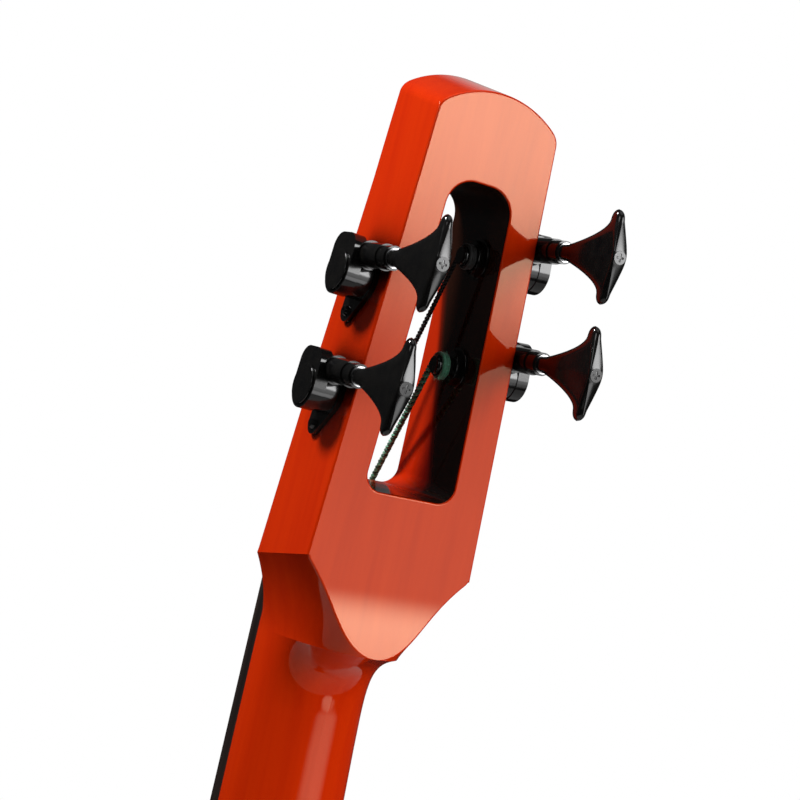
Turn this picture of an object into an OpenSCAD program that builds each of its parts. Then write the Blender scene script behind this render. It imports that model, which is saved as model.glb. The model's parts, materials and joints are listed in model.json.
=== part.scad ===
// Electric upright double bass: slotted head, side tuning machines, bolted neck and slim solid body.
// The origin is the stand socket on the back of the body, +Z runs up the neck, -Y faces the strings
// and +X is the treble side. Working coordinates put y = 0 on the fingerboard's glue plane and
// z = 0 at the nut, and stand() moves them to the origin.

/* [Strings and fingerboard] */
// Sounding length from nut to bridge
scale_len = 1060; // [1040:5:1070]
// Length of the fingerboard
board_len = 860; // [840:5:880]
// Width of the neck at the nut
nut_w = 48.4; // [46:0.2:50]
// Growth of the half width of the neck per millimetre of length
board_flare = 0.022; // [0.018:0.001:0.024]
// Thickness of the fingerboard along its edge
board_edge = 7.5; // [6:0.5:9]
// Radius of the fingerboard's camber
camber_r = 80; // [70:5:110]
// String spacing at the nut
nut_gap = 10.7; // [9.5:0.1:11]
// String spacing at the bridge
bridge_gap = 27; // [25:0.5:28]

/* [Head] */
// Width of the head across the shoulders
head_w = 74.8; // [72:0.2:78]
// Width of the head at its upper corners
head_top_w = 56; // [54:0.5:60]
// Height of the upper corners above the shoulders
head_corner = 181.6; // [178:0.2:186]
// Radius of the arched top edge
head_arc = 43; // [40:1:48]
// Depth of the head at the shoulders
head_d = 45.4; // [44:0.2:47]
// Depth of the head at its top
head_top_d = 36.5; // [34:0.5:38]
// Backward lean of the head
head_tilt = 4; // [3:0.5:5]
// Length of the tongue that runs from the head onto the neck
tongue_len = 36; // [32:1:40]
// Half width of the tongue
tongue_r = 24; // [22:0.5:25]
// Height of the slot's lower end above the shoulders
slot_low = 29; // [28:0.5:32]
// Height of the slot's upper end above the shoulders
slot_high = 155.5; // [153:0.5:157]
// Depth of the round of the neck behind the fingerboard
neck_d = 26.5; // [24:0.5:28]

/* [Tuning machines] */
// Diameter of a string post
post_dia = 8; // [7.5:0.1:8.4]
// Span of a key from tip to tip
key_span = 37; // [34:0.5:40]
// Thickness of a key at its middle
key_thick = 7; // [6:0.5:8]

/* [Body] */
// Thickness of the body
body_d = 56; // [52:1:60]
// Half width of the upper bout
upper_bout = 90; // [85:1:95]
// Half width of the waist
waist = 72; // [68:1:78]
// Half width of the lower bout
lower_bout = 100; // [96:1:106]
// Radius of the thread that takes the stand
stand_r = 4; // [4:0.5:5]

/* [Hidden] */
$fn = 48;

// Places of the main pieces in working coordinates
head_back = 54.9;
front_d = 7.5;
front_in = 8;
head_root = -16;
body_front = 28;
body_back = body_front + body_d;
stand_z = -900;
shoulder_drop = 9;
top_rise = 8;
nut_len = 6;
nut_over = 1;
block_top = 8;
bridge_z = -scale_len;
bridge_w = 12;
anchor_z = -1172;
heel_top = -590;
heel_low = -700;
body_top = -560;
body_low = -1245;

// Tuning machines: side of the head, height of the key shaft above the shoulders, string number
E = 0;
A = 1;
D = 2;
G = 3;
tuner_side = [-1, -1, 1, 1];
shaft_height = [92.8, 138, 117.6, 71.3];
worm_gap = 8.5;
wheel_teeth = 20;
post_y = -17.5;
shaft_out = 5.9;
post_tip = 7;
wheel_r = 6.4;
wheel_root = 5.3;
wheel_w = 2.4;
worm_pitch = 2 * 3.14159265 * (worm_gap - 2.7) / wheel_teeth;
fit = 0.05;

// Strings, in the order E, A, D, G
string_r = [1.25, 1.0, 0.8, 0.65];
winding_r = [5.6, 5.4, 5.1, 5.0];
winding_start = 0.6;
winding_w = 3.9;
winding_rows = 3;

black = [0.03, 0.03, 0.03];
lacquer = [0.62, 0.09, 0.03];
steel = [0.72, 0.72, 0.74];

// ---- frames ----
module stand() translate([0, -body_back, -stand_z]) children();

module head_frame() stand() translate([0, head_back, head_root]) rotate([-head_tilt, 0, 0]) children();

function from_head(p) = [
    p[0],
    head_back + p[1] * cos(head_tilt) + p[2] * sin(head_tilt),
    head_root - p[1] * sin(head_tilt) + p[2] * cos(head_tilt)];

// Origin on the head's side face where the post axis meets it, local +X pointing out of the face,
// local +Y along the key shaft and local +Z up the head
module machine(i) head_frame() scale([tuner_side[i], 1, 1])
    translate([head_half(post_z(i)), post_y, post_z(i)]) rotate([0, -head_taper, 0]) children();

// The machines stand square to the tapered sides of the head
head_taper = atan((head_w - head_top_w) / 2 / head_corner);
function post_z(i) = shaft_height[i] - worm_gap * cos(head_taper) - shaft_out * sin(head_taper);
function post_reach(i) = head_half(post_z(i)) - post_tip;
function slot_wall(i) = head_half(post_z(i)) - slot_half(post_z(i));
function head_half(z) = head_w / 2 + (head_top_w - head_w) / 2 * z / head_corner;
function slot_half(z) = 19.6 - (z - 42) * 4.6 / 96;

// ---- neck, with the head ----
function neck_half(z) = nut_w / 2 - board_flare * z;
function smooth(t) = let(u = min(1, max(0, t))) u * u * (3 - 2 * u);
function joined(lists) = [for (l = lists) for (v = l) v];

// Below the shoulders: s is the distance down from them
function tongue_half(s) = let(t = min(1, s / tongue_len))
    tongue_r * sqrt(1 - t * t) + (head_w / 2 - tongue_r) * pow(max(0, 1 - t / 0.9), 2.5);
function block_half(s) = let(n = neck_half(head_root - s))
    n + (head_w / 2 - n) * pow(max(0, 1 - max(0, s) / 37), 1.75) - (s < 0 ? 0.4 : 0);
function block_wide_y(s) = (head_back - head_d) * max(0, 1 - max(0, s) / 37);
function tongue_back(s) = head_back - s * tan(head_tilt) + (s < 0 ? -0.3 : 5 * pow(s / tongue_len, 2));
function heel_depth(s) = 18 * smooth((s - head_root + heel_top + 90) / 80);
function back_y(s) = s <= tongue_len ? tongue_back(s)
    : neck_d + heel_depth(s) + (tongue_back(tongue_len) - neck_d) * exp(-(s - tongue_len) / 8);
function block_slope(s) = 0.127 * max(0, 1 - s / 40);
function loft_side(s) = let(
        w = block_half(s),
        yc = block_wide_y(s),
        yt = back_y(s),
        x0 = s < tongue_len ? max(0.6, min(0.985 * w, tongue_half(s))) : 0.6,
        n = 2.2 + 2.8 * smooth((s - head_root + heel_top + 90) / 80),
        b = (yt - yc) / pow(1 - pow(x0 / w, n), 1 / n))
    [[neck_half(head_root - s), 0],
     each [for (k = [0:10]) let(y = yc + (yt - yc) * sin(9 * k))
        [w * pow(max(0, 1 - pow((y - yc) / b, n)), 1 / n), y]]];
function loft_ring(s) = let(side = loft_side(s), m = block_slope(s), z0 = head_root - s)
    [each [for (p = side) [-p[0], p[1], z0 + m * (p[1] - back_y(s))]],
     each [for (k = [len(side) - 1:-1:0]) [side[k][0], side[k][1], z0 + m * (side[k][1] - back_y(s))]]];
loft_stations = joined([
    [-3],
    [for (k = [0:12]) tongue_len * sin(7.5 * k)],
    [for (k = [1:8]) tongue_len + 30 * pow(k / 8, 1.5)],
    [150, 300, 450],
    [for (k = [0:5]) head_root - heel_top - 90 + 16 * k],
    [head_root - heel_low]]);

function ring_faces(count, size) = joined([
    [[for (j = [0:size - 1]) j]],
    [for (i = [0:count - 2]) for (j = [0:size - 1]) let(a = i * size + j, b = i * size + (j + 1) % size)
        [a, a + size, b]],
    [for (i = [0:count - 2]) for (j = [0:size - 1]) let(a = i * size + j, b = i * size + (j + 1) % size)
        [b, a + size, b + size]],
    [[for (j = [size - 1:-1:0]) (count - 1) * size + j]]]);

module loft(rings) polyhedron(joined(rings), ring_faces(len(rings), len(rings[0])));

module neck_shaft() stand() loft([for (s = loft_stations) loft_ring(s)]);

module head_outline() polygon([
    [-head_half(-10), -10], [head_half(-10), -10], [head_half(215), 215], [-head_half(215), 215]]);

// The head's section: flat sides, with the front edges cut back to the width of the board
function side_depth(z) = head_d + (head_top_d - head_d)
    * min(1, (z + shoulder_drop) / (head_corner + shoulder_drop));
function front_ring(z) = let(h = head_half(z) + 0.5, d = side_depth(z) - 0.5, e = front_d + 2,
        c = (front_d + 2) * front_in / front_d)
    [[-h, 5, z], [-h, -d, z], [-h + c, -d - e, z], [h - c, -d - e, z], [h, -d, z], [h, 5, z]];
module head_blank() head_frame() intersection() {
    rotate([90, 0, 0]) translate([0, 0, -1]) linear_extrude(60) head_outline();
    rotate([90, 0, 90]) translate([0, 0, -50]) linear_extrude(100) polygon([
        [0, 0], [0, 215], [-head_top_d - front_d, 215], [-head_top_d - front_d, head_corner],
        [-head_d - front_d, -shoulder_drop]]);
    loft([for (z = [-10, head_corner, 215]) front_ring(z)]);
    translate([0, 0, head_corner]) rotate([90 - atan(top_rise / head_top_d), 0, 0])
        translate([0, 0, -40]) linear_extrude(140) union() {
            translate([0, -sqrt(head_arc * head_arc - head_top_w * head_top_w / 4)])
                circle(head_arc, $fn = 96);
            translate([-60, -260]) square([120, 260]);
        }
}

module slot() head_frame() rotate([90, 0, 0]) translate([0, 0, -10]) linear_extrude(70) hull() {
    for (x = [-1, 1]) {
        translate([x * (slot_half(slot_high - 11) - 11), slot_high - 11]) circle(11);
        translate([x * (slot_half(slot_low + 7) - 7), slot_low + 7]) circle(7);
    }
}

// Raised block that carries the nut
module nut_block() stand() rotate([90, 0, 90]) translate([0, 0, -nut_w / 2])
    linear_extrude(nut_w) polygon([
        [0, head_root - 14], [0, block_top], [8, 11], [24, 11], [24, head_root - 14]]);

bolt_x = 18;
bolt_z = [-620, -676];

module neck() color(lacquer) difference() {
    union() {
        neck_shaft();
        head_blank();
        nut_block();
    }
    slot();
    for (i = [E:G]) machine(i) rotate([0, -90, 0]) translate([0, 0, -5]) cylinder(d = 11.2, h = 40);
    for (i = [E:G]) machine(i) translate([-12, ear[1], ear[2]]) rotate([0, 90, 0])
        cylinder(d = 2.4, h = 20);
    stand() translate([0, 8, heel_low - 5]) cylinder(d = 8, h = -heel_low - 15);
    for (x = [-1, 1], z = bolt_z) stand() translate([x * bolt_x, 50, z]) rotate([90, 0, 0])
        cylinder(d = 5.1, h = 32);
}

// ---- fingerboard and nut ----
function camber(w, x) = sqrt(camber_r * camber_r - x * x) - sqrt(camber_r * camber_r - w * w);
function edge_y(z) = board_edge - z * 1.5 / board_len;
function board_ring(z) = let(w = neck_half(z))
    [[w, 0, z], each [for (k = [8:-1:-8]) let(x = w * sin(90 * k / 8))
        [x, -edge_y(z) - camber(w, x), z]], [-w, 0, z]];

module fingerboard() color([0.06, 0.04, 0.03]) stand() difference() {
    loft([board_ring(0), board_ring(-board_len)]);
    for (z = dot_z) translate([neck_half(z) - 2, -board_edge / 2, z]) rotate([0, 90, 0])
        cylinder(d = 3, h = 5);
}

// Position dots on the treble edge of the board, at the semitones a bassist finds by thumb
semitones = [3, 5, 7, 9, 12];
dot_z = [for (n = semitones) -scale_len * (1 - pow(2, -n / 12))];
module side_dots() color([0.9, 0.9, 0.85]) stand() for (z = dot_z)
    translate([neck_half(z) - 1.95, -board_edge / 2, z]) rotate([0, 90, 0]) cylinder(d = 2.9, h = 1.9);

module nut_shape(over) polygon([
    [nut_w / 2, 0], each [for (k = [8:-1:-8]) let(x = nut_w / 2 * sin(90 * k / 8))
        [x, -board_edge - camber(nut_w / 2, x) - over]], [-nut_w / 2, 0]]);

module nut() color([0.85, 0.82, 0.72]) stand() translate([0, 0, 0.02])
    linear_extrude(nut_len) nut_shape(nut_over);

// ---- truss rod inside the neck ----
module truss_rod() color(steel) stand() translate([0, 8, heel_low + 14])
    cylinder(d = 6, h = -heel_low - 44);
module truss_nut() color("goldenrod") stand() translate([0, 8, heel_low + 2]) difference() {
    cylinder(d = 7.6, h = 11.8);
    translate([0, 0, -1]) cylinder(d = 5, h = 7, $fn = 6);
}

// ---- strings ----
function string_x_nut(i) = (i - 1.5) * nut_gap;
function string_x_bridge(i) = (i - 1.5) * bridge_gap;
function crown(x) = -34.5 + 0.0052 * x * x;
function at_nut(i) = let(x = string_x_nut(i))
    [x, -board_edge - camber(nut_w / 2, x) - nut_over - string_r[i] - 0.1, nut_len + 0.4];
function at_bridge(i) = let(x = string_x_bridge(i))
    [x, crown(x) - string_r[i] - 0.35, bridge_z - bridge_w / 2 - 0.4];
function at_tail(i) = [string_x_bridge(i) * 0.72, 15, anchor_z + 9];
function at_post(i) = let(reach = post_reach(i) - winding_start - winding_w / 2) from_head([
    tuner_side[i] * (head_half(post_z(i)) - reach * cos(head_taper)),
    post_y - winding_r[i] - string_r[i] - 0.35,
    post_z(i) - reach * sin(head_taper)]);

// Tube through a list of points: one ring square to the path at each point, mitred at the bends
function unit(v) = v / norm(v);
function tube_dir(pts, k) = k == 0 ? unit(pts[1] - pts[0])
    : k == len(pts) - 1 ? unit(pts[k] - pts[k - 1])
    : unit(unit(pts[k] - pts[k - 1]) + unit(pts[k + 1] - pts[k]));
function tube_ring(p, d, r) = let(
        u = unit(cross(d, abs(d[0]) < 0.9 ? [1, 0, 0] : [0, 1, 0])),
        v = cross(d, u))
    [for (j = [0:9]) p + r * (u * cos(36 * j) + v * sin(36 * j))];
module tube(pts, r) loft([for (k = [0:len(pts) - 1]) tube_ring(pts[k], tube_dir(pts, k), r)]);

module string(i) color(steel) stand() {
    end = at_tail(i);
    tube([end - [0, 0, 19], end, at_bridge(i), at_nut(i), at_post(i)], string_r[i]);
    translate(end - [0, 0, 22]) cylinder(r = 3, h = 4);
}

// ---- body ----
function bottom_half(z) = let(t = (-1120 - z) / (-1120 - body_low))
    lower_bout * pow(max(0, 1 - pow(t, 2.4)), 1 / 2.2);
function body_half(z) = z > -690 ? 46 + (upper_bout - 46) * sin(90 * (body_top - z) / (body_top + 690))
    : z > -900 ? waist + (upper_bout - waist) * (1 + cos(180 * (z + 690) / 210)) / 2
    : z > -1120 ? waist + (lower_bout - waist) * (1 - cos(180 * (z + 900) / 220)) / 2
    : bottom_half(z);
body_levels = joined([
    [for (z = [body_top:-26:-690]) z],
    [for (z = [-712:-24:-1110]) z],
    [for (k = [0:9]) -1120 + (body_low + 1120) * sin(9 * k)],
    [body_low]]);
body_right = [for (z = body_levels) [max(0.01, body_half(z)), z]];

control_x = 51;
control_z = [-1044, -1080];
jack_z = -1112;
cavity = [30, -1132, 42, 106];

module body() color(lacquer) difference() {
    stand() translate([0, body_back, 0]) rotate([90, 0, 0]) linear_extrude(body_d) polygon([
        each [for (p = body_right) p],
        each [for (k = [len(body_right) - 2:-1:0]) [-body_right[k][0], body_right[k][1]]]]);
    stand() translate([-neck_half(heel_low) - 0.15, body_front - 1, heel_low - 0.15])
        cube([2 * neck_half(heel_low) + 0.3, neck_d + 18 - body_front + 1.1, heel_top - heel_low + 40]);
    stand() translate([-neck_half(heel_low) - 3, body_front - 1, heel_top - 20])
        cube([2 * neck_half(heel_low) + 6, neck_d + 18 - body_front + 1.1, 80]);
    for (x = [-1, 1], z = bolt_z) stand() translate([x * bolt_x, body_back + 1, z]) rotate([90, 0, 0])
        cylinder(d = 5.2, h = 60);
    stand() translate([-27, body_back - 2.5, -702]) cube([54, 3, 108]);
    stand() translate([cavity[0], body_front + 7, cavity[1]]) cube([cavity[2], body_d, cavity[3]]);
    stand() translate([cavity[0] - 8, body_back - 2.2, cavity[1] - 8])
        cube([cavity[2] + 16, 3, cavity[3] + 16]);
    for (p = cover_holes) stand() translate([p[0], body_back, p[1]]) rotate([90, 0, 0])
        cylinder(d = 2.4, h = 14);
    for (z = control_z) stand() translate([control_x, body_front - 1, z]) rotate([-90, 0, 0])
        cylinder(d = 8.2, h = 10);
    stand() translate([control_x, body_front - 1, jack_z]) rotate([-90, 0, 0]) cylinder(d = 10.2, h = 10);
    stand() translate([cavity[0] + 1, body_front + 12, lead_z]) rotate([0, -90, 0])
        cylinder(d = 5, h = cavity[0] + 1 - lead_x);
    stand() translate([lead_x, body_front - 1, lead_z]) rotate([-90, 0, 0]) cylinder(d = 6, h = 15);
    stand() translate([-30, body_back - 4, stand_z - 45]) cube([60, 5, 90]);
    stand() translate([0, body_back - 3, stand_z]) rotate([90, 0, 0]) cylinder(d = 16.4, h = 26);
    for (p = stand_holes) stand() translate([p[0], body_back - 3, stand_z + p[1]]) rotate([90, 0, 0])
        cylinder(d = 3.4, h = 22);
    for (x = anchor_holes) stand() translate([x, body_front + 22, anchor_z]) rotate([90, 0, 0])
        cylinder(d = 3.4, h = 24);
}

// ---- neck joint ----
module neck_plate() color(black) difference() {
    stand() translate([-26.8, body_back - 2.4, -701.8]) cube([53.6, 2.4, 107.6]);
    for (x = [-1, 1], z = bolt_z) stand() translate([x * bolt_x, body_back + 1, z]) rotate([90, 0, 0])
        cylinder(d = 5.4, h = 6);
}
module neck_bolts() color(steel) for (x = [-1, 1], z = bolt_z) stand()
    translate([x * bolt_x, body_back, z]) difference() {
        union() {
            rotate([-90, 0, 0]) translate([0, 0, 0.02]) cylinder(d = 9, h = 2.6);
            rotate([90, 0, 0]) translate([0, 0, -0.05]) cylinder(d = 5, h = 64);
        }
        translate([0, 4, 0]) rotate([90, 0, 0]) cylinder(d = 3.6, h = 3, $fn = 6);
    }

// ---- bridge, pickups and tail ----
bridge_foot = body_front - 2.6;
module bridge() color([0.80, 0.62, 0.38]) stand() translate([0, 0, bridge_z - bridge_w / 2])
    linear_extrude(bridge_w) difference() {
        polygon([
            [-56, bridge_foot], [-60, bridge_foot - 8], [-47, bridge_foot - 22], [-50, -12],
            each [for (x = [-48:8:48]) [x, crown(x)]],
            [50, -12], [47, bridge_foot - 22], [60, bridge_foot - 8], [56, bridge_foot]]);
        translate([0, bridge_foot]) circle(21);
        translate([0, -10]) circle(7);
        for (x = [-1, 1]) translate([x * 27, -8]) circle(5);
    }
module bridge_pickups() color(black) for (x = [-1, 1]) stand()
    translate([x * 42 - 11, bridge_foot + 0.02, bridge_z - 5]) cube([22, 2.56, 10]);

lead_x = 22;
lead_z = -1035;
lead_y = bridge_foot + 1.3;
module pickup_lead() color(black) stand() tube([
    [30.7, lead_y, bridge_z],
    [28, lead_y, bridge_z],
    [lead_x + 2, lead_y, bridge_z + 3],
    [lead_x, lead_y, bridge_z + 10],
    [lead_x, lead_y, lead_z - 2.6],
    [lead_x, lead_y + 2, lead_z - 0.4],
    [lead_x, lead_y + 5, lead_z + 0.2],
    [lead_x, body_front + 8, lead_z + 0.2],
    [lead_x + 4, body_front + 12, lead_z],
    [control_x - 12, body_front + 12, lead_z]], 0.9);

anchor_holes = [-42, 42];
module tail_anchor() color(black) difference() {
    stand() translate([-50, 7, anchor_z - 8]) cube([100, body_front - 7.02, 16]);
    for (i = [E:G]) stand() translate(at_tail(i) - [0, 0, 20]) cylinder(r = string_r[i] + 0.4, h = 30);
    for (x = anchor_holes) stand() translate([x, body_front + 1, anchor_z]) rotate([90, 0, 0])
        cylinder(d = 4.4, h = 30);
}
module anchor_screws() color(steel) for (x = anchor_holes) stand() translate([x, 7, anchor_z])
    difference() {
    union() {
        rotate([90, 0, 0]) translate([0, 0, 0.02]) cylinder(d = 8, h = 3);
        rotate([-90, 0, 0]) translate([0, 0, -0.5]) cylinder(d = 3.2, h = 38);
    }
    translate([0, -2, 0]) rotate([90, 0, 0]) cylinder(d = 3, h = 4, $fn = 6);
}

// ---- tuning machines ----
ear = [0, -6, -14];
tube_r = 5.2;
house_out = 13.6;
worm_len = 12;

bushing_d = 11;
bushing_hex = 14.6;
bushing_out = 3.6;
washer_d = 17;
washer_t = 1.1;
module tuner_bushings() color(black) for (i = [E:G]) machine(i) difference() {
    union() {
        translate([-slot_wall(i) - 1.2, 0, 0]) rotate([0, 90, 0])
            cylinder(d = bushing_d, h = slot_wall(i) - 1);
        translate([-slot_wall(i) - 3.2, 0, 0]) rotate([0, 90, 0])
            cylinder(d = bushing_hex, h = 2.06, $fn = 6);
        translate([-slot_wall(i) - bushing_out, 0, 0]) rotate([0, 90, 0]) cylinder(d = 12, h = 2);
    }
    translate([-60, 0, 0]) rotate([0, 90, 0]) cylinder(d = post_dia + 2 * fit, h = 80);
}
module tuner_washers() color(black) for (i = [E:G]) machine(i)
    translate([-slot_wall(i) - washer_t - 0.02, 0, 0]) rotate([0, 90, 0]) difference() {
        cylinder(d = washer_d, h = washer_t);
        translate([0, 0, -1]) cylinder(d = bushing_d + 0.1, h = 4);
    }

drum_r = 9.2;
plate_r = 9.9;
plate_t = 2;
ear_r = 4.4;
lid_x = 8.4;
lid_r = 9.6;
lobe_r = 6.2;
lobe_y = 3.1;
boss_r = 5.8;
boss_y = -9.6;
module housing(i) color(black) machine(i) difference() {
    union() {
        rotate([0, 90, 0]) translate([0, 0, 0.8]) cylinder(r = drum_r, h = house_out - 1.6);
        translate([0.02, 0, 0]) rotate([0, 90, 0]) linear_extrude(plate_t) hull() {
            circle(plate_r, $fn = 64);
            translate([-ear[2], ear[1]]) circle(ear_r);
        }
        translate([lid_x, 0, 0]) rotate([0, 90, 0]) linear_extrude(house_out - lid_x) hull() {
            circle(lid_r, $fn = 64);
            translate([-worm_gap - 0.6, lobe_y]) circle(lobe_r);
            translate([-worm_gap - 0.6, -lobe_y]) circle(lobe_r);
        }
        translate([shaft_out, boss_y, worm_gap]) rotate([-90, 0, 0]) cylinder(r = boss_r, h = 19);
        translate([shaft_out, 9, worm_gap]) rotate([-90, 0, 0]) cylinder(r = tube_r, h = 14);
        translate([shaft_out, 22, worm_gap]) rotate([-90, 0, 0]) cylinder(r = tube_r - 0.5, h = 7.2);
        translate([0.1, boss_y, 0]) cube([10, 18, worm_gap]);
    }
    translate([-2, 0, 0]) rotate([0, 90, 0]) cylinder(d = post_dia + 2 * fit, h = 6);
    translate([shaft_out - 2.3, 0, 0]) rotate([0, 90, 0]) cylinder(r = wheel_r + 0.5, h = 20);
    translate([shaft_out, -worm_len / 2 - 0.5, worm_gap]) rotate([-90, 0, 0])
        cylinder(r = 4, h = worm_len + 0.8);
    translate([shaft_out, 0, worm_gap]) rotate([-90, 0, 0]) cylinder(r = 3 + fit, h = 40);
    translate([-2, ear[1], ear[2]]) rotate([0, 90, 0]) cylinder(d = 2.8, h = 6);
}
module gear_cover(i) color(black) machine(i) rotate([0, 90, 0]) {
    translate([0, 0, house_out - 3]) cylinder(r = wheel_r + 0.42, h = 3.2);
    translate([0, 0, house_out + 0.02]) cylinder(r = 8.2, h = 0.9);
}
module tuner_screws() color(black) for (i = [E:G]) machine(i) translate([plate_t + 0.05, ear[1], ear[2]])
    difference() {
    union() {
        rotate([0, -90, 0]) translate([0, 0, -0.5]) cylinder(d = 2.2, h = 12);
        rotate([0, 90, 0]) cylinder(d1 = 5, d2 = 3.6, h = 1.4);
    }
    for (a = [0, 90]) rotate([a, 0, 0]) translate([0.9, -1.2, -0.3]) cube([2, 2.4, 0.6]);
}

// The post turns in its bushing; the worm wheel is pressed on its outer end
module post(i) color(black) machine(i) difference() {
    union() {
        translate([-post_reach(i), 0, 0]) rotate([0, 90, 0])
            cylinder(d = post_dia, h = post_reach(i) + shaft_out + 1.9);
        translate([-post_reach(i) - 0.8, 0, 0]) rotate([0, 90, 0])
            cylinder(d1 = post_dia - 1.6, d2 = post_dia, h = 0.8);
        translate([shaft_out - wheel_w / 2, 0, 0]) rotate([0, 90, 0]) linear_extrude(wheel_w) wheel();
    }
    translate([winding_start + winding_w / 2 - post_reach(i), -8, 0]) rotate([-90, 0, 0])
        cylinder(d = 2.6, h = 16);
}
module wheel() union() {
    circle(wheel_root);
    for (k = [0:wheel_teeth - 1]) rotate(k * 360 / wheel_teeth + 180) polygon([
        [wheel_root - 0.6, -0.52], [wheel_root, -0.50], [wheel_r - 0.1, -0.26],
        [wheel_r - 0.1, 0.26], [wheel_root, 0.50], [wheel_root - 0.6, 0.52]]);
}
// String wound on the post: rings that touch side by side
module winding(i) color([0.05, 0.30, 0.15]) machine(i) {
    w = (winding_r[i] - post_dia / 2) / 2;
    pitch = winding_w / winding_rows;
    translate([winding_start - post_reach(i), 0, 0]) rotate([0, 90, 0]) rotate_extrude() union() {
        translate([post_dia / 2 + 0.01, 0]) square([w, winding_w]);
        for (k = [0:winding_rows - 1]) translate([post_dia / 2 + w, pitch * (k + 0.5)])
            circle(w * 0.98, $fn = 24);
    }
}

// Worm: one helical thread on the key's shaft
thread_steps = 16;
thread_turns = 3;
function thread_ring(k) = let(
        a = 360 * k / thread_steps,
        y = worm_pitch * (k / thread_steps - thread_turns / 2),
        ends = min(1, min(k, thread_turns * thread_steps - k) / 4),
        tall = 1.85 + 1.15 * ends)
    [[1.7 * cos(a), y - 0.5, 1.7 * sin(a)],
     [tall * cos(a), y - 0.22, tall * sin(a)],
     [tall * cos(a), y + 0.22, tall * sin(a)],
     [1.7 * cos(a), y + 0.5, 1.7 * sin(a)]];
module thread() loft([for (k = [0:thread_turns * thread_steps]) thread_ring(k)]);

module worm(i) color(steel) machine(i) translate([shaft_out, 0, worm_gap]) union() {
    rotate([0, 90, 0]) thread();
    rotate([-90, 0, 0]) translate([0, 0, -worm_len / 2 - 0.2]) cylinder(r = 1.9, h = worm_len + 1.2);
    rotate([-90, 0, 0]) translate([0, 0, worm_len / 2 + 0.5]) cylinder(r = 3, h = 31.6 - worm_len / 2);
    rotate([-90, 0, 0]) translate([0, 0, 29.3]) cylinder(r = 3.9, h = 0.7);
    rotate([-90, 0, 0]) translate([0, 0, 31]) cylinder(r = 2.2, h = 25);
}

// Key: one wing of the outline in the YZ plane, from the neck ring to the flat end
key_root = 30.1;
key_end = 67.2;
key_tip = 1.9;
module key_outline() union() {
    translate([key_root, -3.9]) square([10, 7.8]);
    for (s = [-1, 1]) scale([1, s]) polygon([
        [key_root, 0], [key_root + 4, 3.9],
        each [for (t = [0:15:90]) [key_root + 9 + 17 * sin(t), 3.9 + 11 * (1 - cos(t))]],
        each [for (t = [180:-30:0]) [key_end - 6.5 + 4.2 * cos(t), key_span / 2 - 4.3 + 4.2 * sin(t)]],
        [key_end, 4], [key_end, 0]]);
}
module key(i) color(black) machine(i) translate([shaft_out, 0, worm_gap]) difference() {
    union() {
        intersection() {
            rotate([0, 90, 0]) rotate([0, 0, 90]) translate([0, 0, -key_thick / 2])
                linear_extrude(key_thick) key_outline();
            rotate([-90, 0, 0]) linear_extrude(100) polygon([
                [-key_tip, key_span / 2 + 1], [-key_thick / 2, 3],
                [-key_thick / 2, -3], [-key_tip, -key_span / 2 - 1],
                [key_tip, -key_span / 2 - 1], [key_thick / 2, -3],
                [key_thick / 2, 3], [key_tip, key_span / 2 + 1]]);
        }
        rotate([-90, 0, 0]) translate([0, 0, key_root]) cylinder(r = 3.9, h = 12);
    }
    rotate([-90, 0, 0]) translate([0, 0, 26]) cylinder(r = 3 + fit, h = 6.3);
    rotate([-90, 0, 0]) translate([0, 0, 30]) cylinder(r = 2.2 + fit, h = 27);
    rotate([-90, 0, 0]) translate([0, 0, 56]) cylinder(r = 1.6, h = 15);
    rotate([-90, 0, 0]) translate([0, 0, key_end - 0.9]) cylinder(r = 2.9, h = 3);
}
module key_screw(i) color(black) machine(i) translate([shaft_out, 0, worm_gap]) rotate([-90, 0, 0])
    difference() {
    union() {
        translate([0, 0, 56.1]) cylinder(r = 1.5, h = key_end - 56.9);
        translate([0, 0, key_end - 0.88]) cylinder(r = 2.7, h = 1.1);
    }
    for (a = [0, 90]) rotate([0, 0, a]) translate([-1.6, -0.35, key_end - 0.4]) cube([3.2, 0.7, 2]);
}

// ---- controls ----
cover_holes = [[cavity[0] - 4, cavity[1] - 4], [cavity[0] + cavity[2] + 4, cavity[1] - 4],
    [cavity[0] - 4, cavity[1] + cavity[3] + 4], [cavity[0] + cavity[2] + 4, cavity[1] + cavity[3] + 4]];
module cavity_cover() color(black) difference() {
    stand() translate([cavity[0] - 7.8, body_back - 2.18, cavity[1] - 7.8])
        cube([cavity[2] + 15.6, 2.16, cavity[3] + 15.6]);
    for (p = cover_holes) stand() translate([p[0], body_back + 1, p[1]]) rotate([90, 0, 0])
        cylinder(d = 2.8, h = 6);
}
module wood_screw(head, shank, len) difference() {
    union() {
        rotate([-90, 0, 0]) translate([0, 0, 0.02]) cylinder(d1 = head, d2 = head * 0.7, h = 1.5);
        rotate([90, 0, 0]) translate([0, 0, -0.2]) cylinder(d = shank, h = len);
    }
    for (a = [0, 90]) rotate([0, a, 0]) translate([-head * 0.25, 0.9, -0.35]) cube([head * 0.5, 2, 0.7]);
}
module cover_screws() color(steel) for (p = cover_holes) stand() translate([p[0], body_back, p[1]])
    wood_screw(5, 2.2, 12);

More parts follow.
